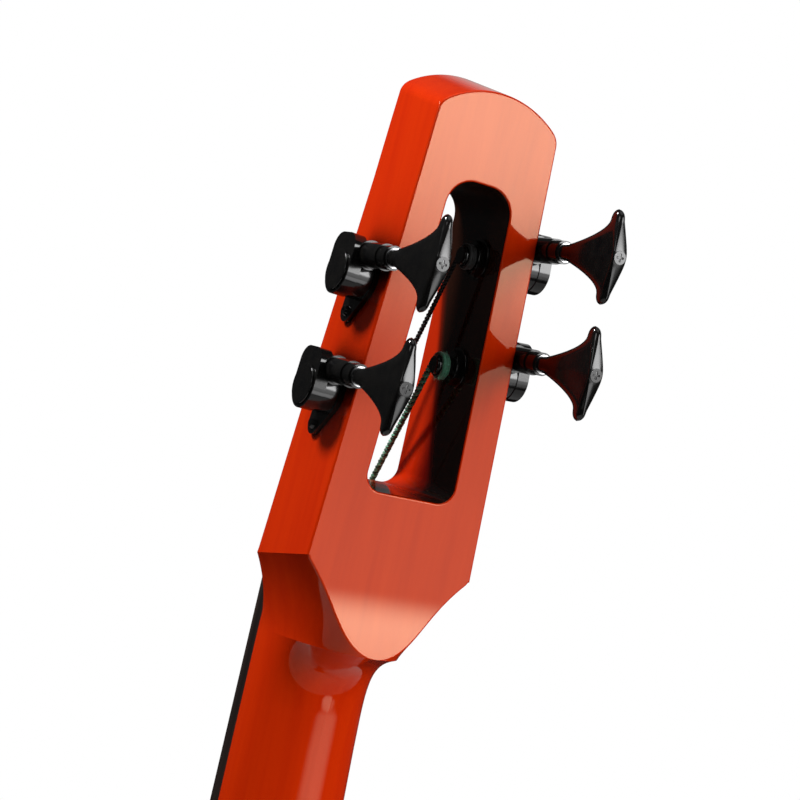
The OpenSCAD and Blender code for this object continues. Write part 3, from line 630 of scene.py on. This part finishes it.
# ---- strings ----
def string_line(name):
    """The path of a string from the tail anchor over bridge and nut to its post."""
    tail_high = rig.box("tail_anchor")[1]
    bridge_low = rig.box("bridge")[0]
    nut_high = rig.box("nut")[1]
    x_index = MACHINES.index(name) - 1.5
    r = STRING_R[name] * MM
    post = machine_frame(name) @ Vector((WINDING_START + WINDING_W * 0.2 - reach(name),
                                         -(POST_R + (WINDING_R[name] - POST_R) / 2), 0))
    nut_x, bridge_x = x_index * 10.7 * MM, x_index * 27 * MM
    camber = lambda x: math.sqrt(0.08 ** 2 - x * x) - math.sqrt(0.08 ** 2 - 0.0242 ** 2)
    nut = Vector((nut_x, (-7.5 - 1.1 - BODY_BACK) * MM - camber(nut_x) - r, nut_high.z + 0.4 * MM))
    crown = -34.5 + 0.0052 * (bridge_x / MM) ** 2
    bridge = Vector((bridge_x, (crown - 0.2 - BODY_BACK) * MM - r, bridge_low.z - 0.4 * MM))
    anchor = Vector((bridge_x * 0.72, (15 - BODY_BACK) * MM, tail_high.z + 1 * MM))
    return anchor - Vector((0, 0, 19 * MM)), anchor, bridge, nut, post, r


def twisted(points, radius, strands, pitch):
    """Strands laid round each other along a path."""
    line = along(points, 0.7 * MM)
    done = 0.0
    paths = [[] for _ in range(strands)]
    side = Vector((1, 0, 0))
    for k, p in enumerate(line):
        if k:
            done += (p - line[k - 1]).length
        ahead = (line[min(k + 1, len(line) - 1)] - line[max(k - 1, 0)]).normalized()
        side = (side - ahead * side.dot(ahead)).normalized()
        up = ahead.cross(side)
        for s in range(strands):
            t = 2 * math.pi * (done / pitch + s / strands)
            paths[s].append(p + radius * 0.5 * (math.cos(t) * side + math.sin(t) * up))
    return [tube_rings(path, radius * 0.62, 7) for path in paths]


def make_string(name):
    foot, anchor, bridge, nut, post, r = string_line(name)
    silk_end = nut.lerp(bridge, 0.03)
    bm = bmesh.new()
    add_loft(bm, tube_rings(along([foot, anchor, bridge, silk_end], 0.02), r, 14))
    ball = [(-0.0045, 0.0012), (-0.0045, 0.0028), (-0.004, 0.0031), (-0.0008, 0.0031), (-0.0003, 0.0028),
            (-0.0003, 0.0012)]
    add_lathe(bm, Matrix.Identity(4), foot + Vector((0, 0, 0.001)), (0, 0, 1),
              [(d, q) for d, q in ball], 24)
    finish_mesh("wire_" + name, bm, "string_steel", INSTRUMENT, "string_steel", ["string_" + name])
    colours = ["green_fray", "green_silk"] if name == "e" else ["black_silk", "black_silk"]
    rings = twisted([silk_end, nut, post], r * 1.05, 2, 0.0034)
    for k, (colour, strand) in enumerate(zip(colours, rings)):
        bm = bmesh.new()
        add_loft(bm, strand)
        finish_mesh(f"silk_{name}_{k}", bm, colour, INSTRUMENT, SLOTS["string_" + name])


# ---- body edges ----
def body_half(z):
    upper, waist, lower = 90.0, 72.0, 100.0
    if z > -690:
        return 46 + (upper - 46) * math.sin(math.pi / 2 * (BODY_TOP - z) / (BODY_TOP + 690))
    if z > -900:
        return waist + (upper - waist) * (1 + math.cos(math.pi * (z + 690) / 210)) / 2
    if z > -1120:
        return waist + (lower - waist) * (1 - math.cos(math.pi * (z + 900) / 220)) / 2
    t = (-1120 - z) / (-1120 - BODY_LOW)
    return lower * max(0.0, 1 - t ** 2.4) ** (1 / 2.2)


def make_body():
    bm = from_node("body")
    layer = bm.edges.layers.float.new("bevel_weight_edge")
    for edge in bm.edges:
        mid = (edge.verts[0].co + edge.verts[1].co) / 2
        x, y, z = mid.x / MM, mid.y / MM + BODY_BACK, mid.z / MM + STAND_Z
        on_face = min(abs(y - BODY_FRONT), abs(y - BODY_BACK)) < 0.1
        outline = abs(x) > body_half(z) - 1.5 or z < BODY_LOW + 1 or z > BODY_TOP - 0.5
        flat = len(edge.link_faces) == 2 and edge.calc_face_angle(0.0) > 0.6
        if on_face and outline and flat:
            edge[layer] = 1.0
    return finish_mesh("carved_body", bm, "red_lacquer", INSTRUMENT, "red_lacquer", ["body"],
                       6 * MM, segments=5, weight_only=True)


# ---- neck and head ----
def working(x, y, z):
    return Vector((x * MM, (y - BODY_BACK) * MM, (z - STAND_Z) * MM))


def head_point(x, y, z):
    c, t = math.cos(HEAD_TILT), math.sin(HEAD_TILT)
    return working(x, HEAD_BACK + y * c + z * t, HEAD_ROOT - y * t + z * c)


def smooth(t):
    u = min(1.0, max(0.0, t))
    return u * u * (3 - 2 * u)


def neck_half(z):
    return NUT_W / 2 - FLARE * z


def neck_ring(s):
    """One cross-section of the neck, s below the shoulders, with the tongue's edge rounded."""
    z0 = HEAD_ROOT - s
    near = max(0.0, 1 - max(0.0, s) / 37)
    n = neck_half(z0)
    w = n + (HEAD_W / 2 - n) * near ** 1.75 - (0.4 if s < 0 else 0)
    yc = (HEAD_BACK - HEAD_D) * near
    heel = 18 * smooth((s - HEAD_ROOT + HEEL_TOP + 90) / 80)
    tongue_back = HEAD_BACK - TONGUE_LEN * math.tan(HEAD_TILT) + 5
    if s <= TONGUE_LEN:
        yt = HEAD_BACK - s * math.tan(HEAD_TILT) + (-0.3 if s < 0 else 5 * (s / TONGUE_LEN) ** 2)
        t = max(0.0, s) / TONGUE_LEN
        x0 = TONGUE_R * math.sqrt(max(0, 1 - t * t)) + (HEAD_W / 2 - TONGUE_R) * max(0, 1 - t / 0.9) ** 2.5
        x0 = max(0.6, min(0.985 * w, x0))
    else:
        yt = NECK_D + heel + (tongue_back - NECK_D) * math.exp(-(s - TONGUE_LEN) / 8)
        x0 = 0.6
    power = 2.2 + 2.8 * smooth((s - HEAD_ROOT + HEEL_TOP + 90) / 80)
    b = (yt - yc) / (1 - (x0 / w) ** power) ** (1 / power)
    side = lambda y: w * max(0.0, 1 - (max(0.0, y - yc) / b) ** power) ** (1 / power)
    drop = Vector((side(yt - 0.4) - x0, -0.4)).normalized()
    edge = min(EDGE, 0.7 * x0)
    corner = Vector((x0, yt))
    start, stop = corner + drop * edge, corner + Vector((-edge, 0))
    low = max(yc, 0.6)
    count = 22
    right = [(n, 0.0)]
    for k in range(count):
        y = low + (start.y - low) * math.sin(math.pi / 2 * k / count)
        right.append((side(y), y))
    for k in range(6):
        t = k / 5
        q = start * (1 - t) ** 2 + corner * 2 * t * (1 - t) + stop * t * t
        right.append((q.x, q.y))
    slope = 0.127 * max(0.0, 1 - s / 40)
    ring = right + [(-x, y) for x, y in reversed(right)]
    return [working(x, y, z0 + slope * (y - yt)) for x, y in ring]


def head_half(z):
    return HEAD_W / 2 + (HEAD_TOP_W - HEAD_W) / 2 * z / HEAD_CORNER


def slot_half(z):
    return 19.6 - (z - 42) * 4.6 / 96


def head_depth(z):
    return HEAD_D + (HEAD_TOP_D - HEAD_D) * min(1.0, (z + SHOULDER_DROP) / (HEAD_CORNER + SHOULDER_DROP))


def head_outline(inset):
    """Half of the head's outline in (x, z), from the shoulder up to the middle of the arch."""
    centre = HEAD_CORNER - math.sqrt(HEAD_ARC ** 2 - (HEAD_TOP_W / 2) ** 2)
    arc = HEAD_ARC - inset
    corner = 3.0
    points = [(head_half(z) - inset, z) for z in (0, 30, 60, 90, 120, 150, 168)]
    start = math.acos((HEAD_TOP_W / 2 - inset) / arc)
    a0, a1 = start + 0.085, math.pi / 2
    turn = Vector((head_half(HEAD_CORNER) - inset, centre + arc * math.sin(start)))
    first = Vector((head_half(turn.y - corner) - inset, turn.y - corner))
    last = Vector((arc * math.cos(a0), centre + arc * math.sin(a0)))
    for k in range(7):
        t = k / 6
        q = first * (1 - t) ** 2 + turn * 2 * t * (1 - t) + last * t * t
        points.append((q.x, q.y))
    points += [(arc * math.cos(a0 + (a1 - a0) * k / 20), centre + arc * math.sin(a0 + (a1 - a0) * k / 20))
               for k in range(1, 21)]
    return points


def slot_outline(grow):
    """The slot's outline in (x, z), grown outwards."""
    points = []
    ends = [(slot_half(SLOT_HIGH - SLOT_HIGH_R) - SLOT_HIGH_R, SLOT_HIGH - SLOT_HIGH_R, SLOT_HIGH_R, 0),
            (-slot_half(SLOT_HIGH - SLOT_HIGH_R) + SLOT_HIGH_R, SLOT_HIGH - SLOT_HIGH_R, SLOT_HIGH_R, 90),
            (-slot_half(SLOT_LOW + SLOT_LOW_R) + SLOT_LOW_R, SLOT_LOW + SLOT_LOW_R, SLOT_LOW_R, 180),
            (slot_half(SLOT_LOW + SLOT_LOW_R) - SLOT_LOW_R, SLOT_LOW + SLOT_LOW_R, SLOT_LOW_R, 270)]
    for x, z, r, turn in ends:
        for k in range(13):
            a = math.radians(turn + 7.5 * k)
            points.append((x + (r + grow) * math.cos(a), z + (r + grow) * math.sin(a)))
    return points


def rounding(steps=5):
    """(depth, inset) pairs of a quarter-round edge."""
    return [(EDGE * (1 - math.cos(math.pi / 2 * k / steps)), EDGE * (1 - math.sin(math.pi / 2 * k / steps)))
            for k in range(steps + 1)]


def head_rings():
    layers = [(d, e, False) for d, e in rounding()]
    layers += [(-0.8, 0, True), (-0.2, 0.08, True), (0.5, 0.5, True), (FRONT_D - 0.9, FRONT_IN - 1, True),
               (FRONT_D - 0.2, FRONT_IN - 0.1, True), (FRONT_D, FRONT_IN + 0.9, True)]
    for depth, inset, front in layers:
        half = head_outline(inset)
        outline = half + [(-x, z) for x, z in reversed(half[:-1])]
        ring = []
        for x, z in outline:
            d = head_depth(z) + depth if front else depth
            share = d / HEAD_D
            shift = -SHOULDER_DROP * share * max(0.0, 1 - z / 60) + (
                TOP_RISE * d / HEAD_TOP_D * smooth((z - 150) / 27))
            ring.append(head_point(x, -d, z + shift))
        yield ring


def slot_rings():
    layers = [(-6.0, EDGE, False)] + [(d, e, False) for d, e in rounding()]
    layers += [(d, e, True) for d, e in reversed(rounding())] + [(-6.0, EDGE, True)]
    for depth, inset, front in layers:
        yield [head_point(x, -(head_depth(z) + FRONT_D - depth if front else depth), z)
               for x, z in slot_outline(inset)]


def block(x0, x1, profile):
    """A prism across the neck from a (y, z) profile."""
    return [[working(x, y, z) for y, z in profile] for x in (x0, x1)]


def temp_object(name, rings):
    bm = bmesh.new()
    add_loft(bm, rings)
    bmesh.ops.recalc_face_normals(bm, faces=bm.faces)
    mesh = bpy.data.meshes.new(name)
    bm.to_mesh(mesh)
    bm.free()
    obj = bpy.data.objects.new(name, mesh)
    bpy.context.scene.collection.objects.link(obj)
    return obj


def bore(frame_m, point, axis, radius, length, sides=40):
    axis = Vector(axis).normalized()
    u = axis.orthogonal().normalized()
    w = axis.cross(u)
    return [[frame_m @ (Vector(point) + axis * d + radius * (math.cos(t) * u + math.sin(t) * w))
             for t in (2 * math.pi * k / sides for k in range(sides))] for d in (0, length)]


def make_neck():
    stations = [-3.0] + [TONGUE_LEN * math.sin(math.pi / 2 * k / 44) for k in range(45)]
    stations += [TONGUE_LEN + 30 * (k / 18) ** 1.5 for k in range(1, 19)]
    stations += [80, 110, 160, 240, 340, 440]
    stations += [HEAD_ROOT - HEEL_TOP - 92 + 5.5 * k for k in range(16)] + [HEAD_ROOT - HEEL_LOW]
    base = temp_object("neck_base", list(head_rings()))
    half = NUT_W / 2
    tools = [("DIFFERENCE", temp_object("t_slot", list(slot_rings())))]
    for m in MACHINES:
        tools.append(("DIFFERENCE", temp_object("t_bore_" + m, bore(machine_frame(m), (5, 0, 0), (-1, 0, 0),
                                                                    5.6, 40))))
    tools += [
        ("UNION", temp_object("t_shaft", [neck_ring(s) for s in stations])),
        ("UNION", temp_object("t_block", block(-half, half, [
            (0.06, HEAD_ROOT - 9.3), (0.06, BLOCK_TOP), (8.0, 11.0), (21.3, 11.0),
            (21.3, HEAD_ROOT - 9.3)]))),
    ]
    for x in (-18, 18):
        for z in (-620, -676):
            centre = working(x, 50, z)
            tools.append(("DIFFERENCE", temp_object("t_bolt", bore(
                Matrix.Translation(centre) @ Matrix.Scale(MM, 4), (0, 0, 0), (0, -1, 0), 2.55, 32, 20))))
    for operation, tool in tools:
        mod = base.modifiers.new("cut", "BOOLEAN")
        mod.operation = operation
        mod.solver = "EXACT"
        mod.object = tool
    graph = bpy.context.evaluated_depsgraph_get()
    result = bpy.data.meshes.new_from_object(base.evaluated_get(graph))
    for obj in [base] + [tool for _, tool in tools]:
        bpy.data.objects.remove(obj)
    bm = bmesh.new()
    bm.from_mesh(result)
    neck = finish_mesh("lacquered_neck", bm, "red_lacquer", INSTRUMENT, "red_lacquer", ["neck"])
    neck.data.set_sharp_from_angle(angle=math.radians(34))
    # The slot's inner walls take the painted-shadow material instead of the plain lacquer.
    neck.data.materials.append(MATERIALS["slot_painted_shadow"])
    to_head = Matrix.Rotation(HEAD_TILT, 4, "X") @ Matrix.Translation(-head_point(0, 0, 0))
    for poly in neck.data.polygons:
        c = to_head @ poly.center / MM
        n = to_head.to_3x3() @ poly.normal
        inside = SLOT_LOW - 1.2 < c.z < SLOT_HIGH + 1.2 and abs(c.x) < slot_half(c.z) + 1.2
        if inside and -head_depth(c.z) - FRONT_D < c.y < -0.5 * EDGE and abs(n.y) < 0.6:
            poly.material_index = 1
    flat = neck.modifiers.new("flat_faces", "WEIGHTED_NORMAL")
    flat.keep_sharp = True
    flat.weight = 70
    return neck


# ---- build ----
for node, obj in NODES.items():
    obj.data.materials.clear()
    obj.data.materials.append(MATERIALS[SLOTS[node]])

make_neck()
soften("fingerboard", 0.8, angle=40.0)
soften("nut", 0.35, angle=50.0)
soften("bridge", 0.9)
soften("tail_anchor", 1.2)
soften("neck_plate", 0.6)
soften("neck_bolts", 0.25)
soften("anchor_screws", 0.25)
soften("cavity_cover", 0.4)
soften("stand_plate", 0.5)
soften("cover_screws", 0.15)
soften("stand_screws", 0.2)
soften("volume_knob", 0.5)
soften("tone_knob", 0.5)
soften("output_jack", 0.25)
soften("bridge_pickups", 0.3)
soften("tuner_bushings", 0.35, angle=45.0)
soften("tuner_washers", 0.25, angle=45.0)
soften("tuner_screws", 0.12, angle=45.0)
make_body()
for m in MACHINES:
    soften("housing_" + m, 0.55, angle=32.0)
    soften("gear_cover_" + m, 0.3, angle=45.0)
    soften("post_" + m, 0.3, angle=45.0)
    soften("key_screw_" + m, 0.1, angle=45.0)
    make_key(m)
    make_key_trim(m)
    make_winding(m)
    make_string(m)
make_fray("e", "fray_e", "green_fray", 110, 1.6, 0.05, 7, (-math.pi, math.pi))
make_fray("d", "fray_d", "brown_silk", 26, 1.8, 0.09, 11, (-2.4, -0.9))


# ---- stage: floor and studio light ----
def make_floor():
    bm = bmesh.new()
    bmesh.ops.create_circle(bm, cap_ends=True, segments=96, radius=1.5,
                            matrix=Matrix.Translation((0, 0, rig.box("body")[0].z - 0.0005)))
    mesh = bpy.data.meshes.new("floor")
    bm.to_mesh(mesh)
    bm.free()
    floor = bpy.data.objects.new("floor", mesh)
    bpy.context.scene.collection.objects.link(floor)
    mesh.materials.append(simple("floor", (0.74, 0.74, 0.73), (0.80, 0.80, 0.79), 0.6, scale=3.0))
    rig.stage(floor)


def make_world():
    """Soft boxes as bright patches of sky, and a plain white sky behind the object."""
    world = bpy.data.worlds.new("studio")
    bpy.context.scene.world = world
    world.use_nodes = True
    tree = world.node_tree
    tree.nodes.clear()
    out = tree.nodes.new("ShaderNodeOutputWorld")
    mix = tree.nodes.new("ShaderNodeMixShader")
    lit = tree.nodes.new("ShaderNodeBackground")
    white = tree.nodes.new("ShaderNodeBackground")
    white.inputs["Color"].default_value = (1, 1, 1, 1)
    path = tree.nodes.new("ShaderNodeLightPath")
    coord = tree.nodes.new("ShaderNodeTexCoord")
    tree.links.new(path.outputs["Is Camera Ray"], mix.inputs[0])
    tree.links.new(lit.outputs[0], mix.inputs[1])
    tree.links.new(white.outputs[0], mix.inputs[2])
    tree.links.new(mix.outputs[0], out.inputs[0])

    def softbox(direction, inner, outer, strength):
        dot = tree.nodes.new("ShaderNodeVectorMath")
        dot.operation = "DOT_PRODUCT"
        dot.inputs[1].default_value = Vector(direction).normalized()
        tree.links.new(coord.outputs["Generated"], dot.inputs[0])
        edge = tree.nodes.new("ShaderNodeMapRange")
        edge.interpolation_type = "SMOOTHSTEP"
        edge.inputs["From Min"].default_value = math.cos(math.radians(outer))
        edge.inputs["From Max"].default_value = math.cos(math.radians(inner))
        edge.inputs["To Max"].default_value = strength
        tree.links.new(dot.outputs["Value"], edge.inputs["Value"])
        return edge.outputs[0]

    total = None
    boxes = [
        ((-0.50, 0.83, 0.24), 8, 18, 11.5),
        ((-0.50, 0.86, -0.09), 6, 22, 2.4),
        ((-0.80, -0.50, 0.40), 12, 34, 1.2),
        ((0.1, 0.3, 1.0), 12, 34, 0.9),
        ((0.9, 0.5, 0.35), 4, 14, 3.0),
        ((-0.43, 0.77, -0.48), 4, 10, 3.5),
        ((0.0, 0.0, 1.0), 0, 180, 0.05),
    ]
    for box in boxes:
        value = softbox(*box)
        if total is None:
            total = value
            continue
        add = tree.nodes.new("ShaderNodeMath")
        add.operation = "ADD"
        tree.links.new(total, add.inputs[0])
        tree.links.new(value, add.inputs[1])
        total = add.outputs[0]
    tree.links.new(total, lit.inputs["Strength"])


def add_lamp(name, place, aim, size, watts):
    data = bpy.data.lights.new(name, "AREA")
    data.shape = "DISK"
    data.size = size
    data.energy = watts
    lamp = bpy.data.objects.new(name, data)
    bpy.context.scene.collection.objects.link(lamp)
    lamp.location = place
    lamp.rotation_euler = (Vector(aim) - Vector(place)).to_track_quat("-Z", "Y").to_euler()
    lamp.visible_camera = False


make_floor()
make_world()
add_lamp("side_lamp", (0.63, -0.29, 1.634), (0, -0.04, 1.024), 0.22, 10.5)
bpy.context.scene.view_settings.view_transform = "Standard"

with open("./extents.json", "w") as f:
    json.dump({"cad": [list(v) for v in CAD_BOX], "visual": [list(v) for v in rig.bounds()]}, f)
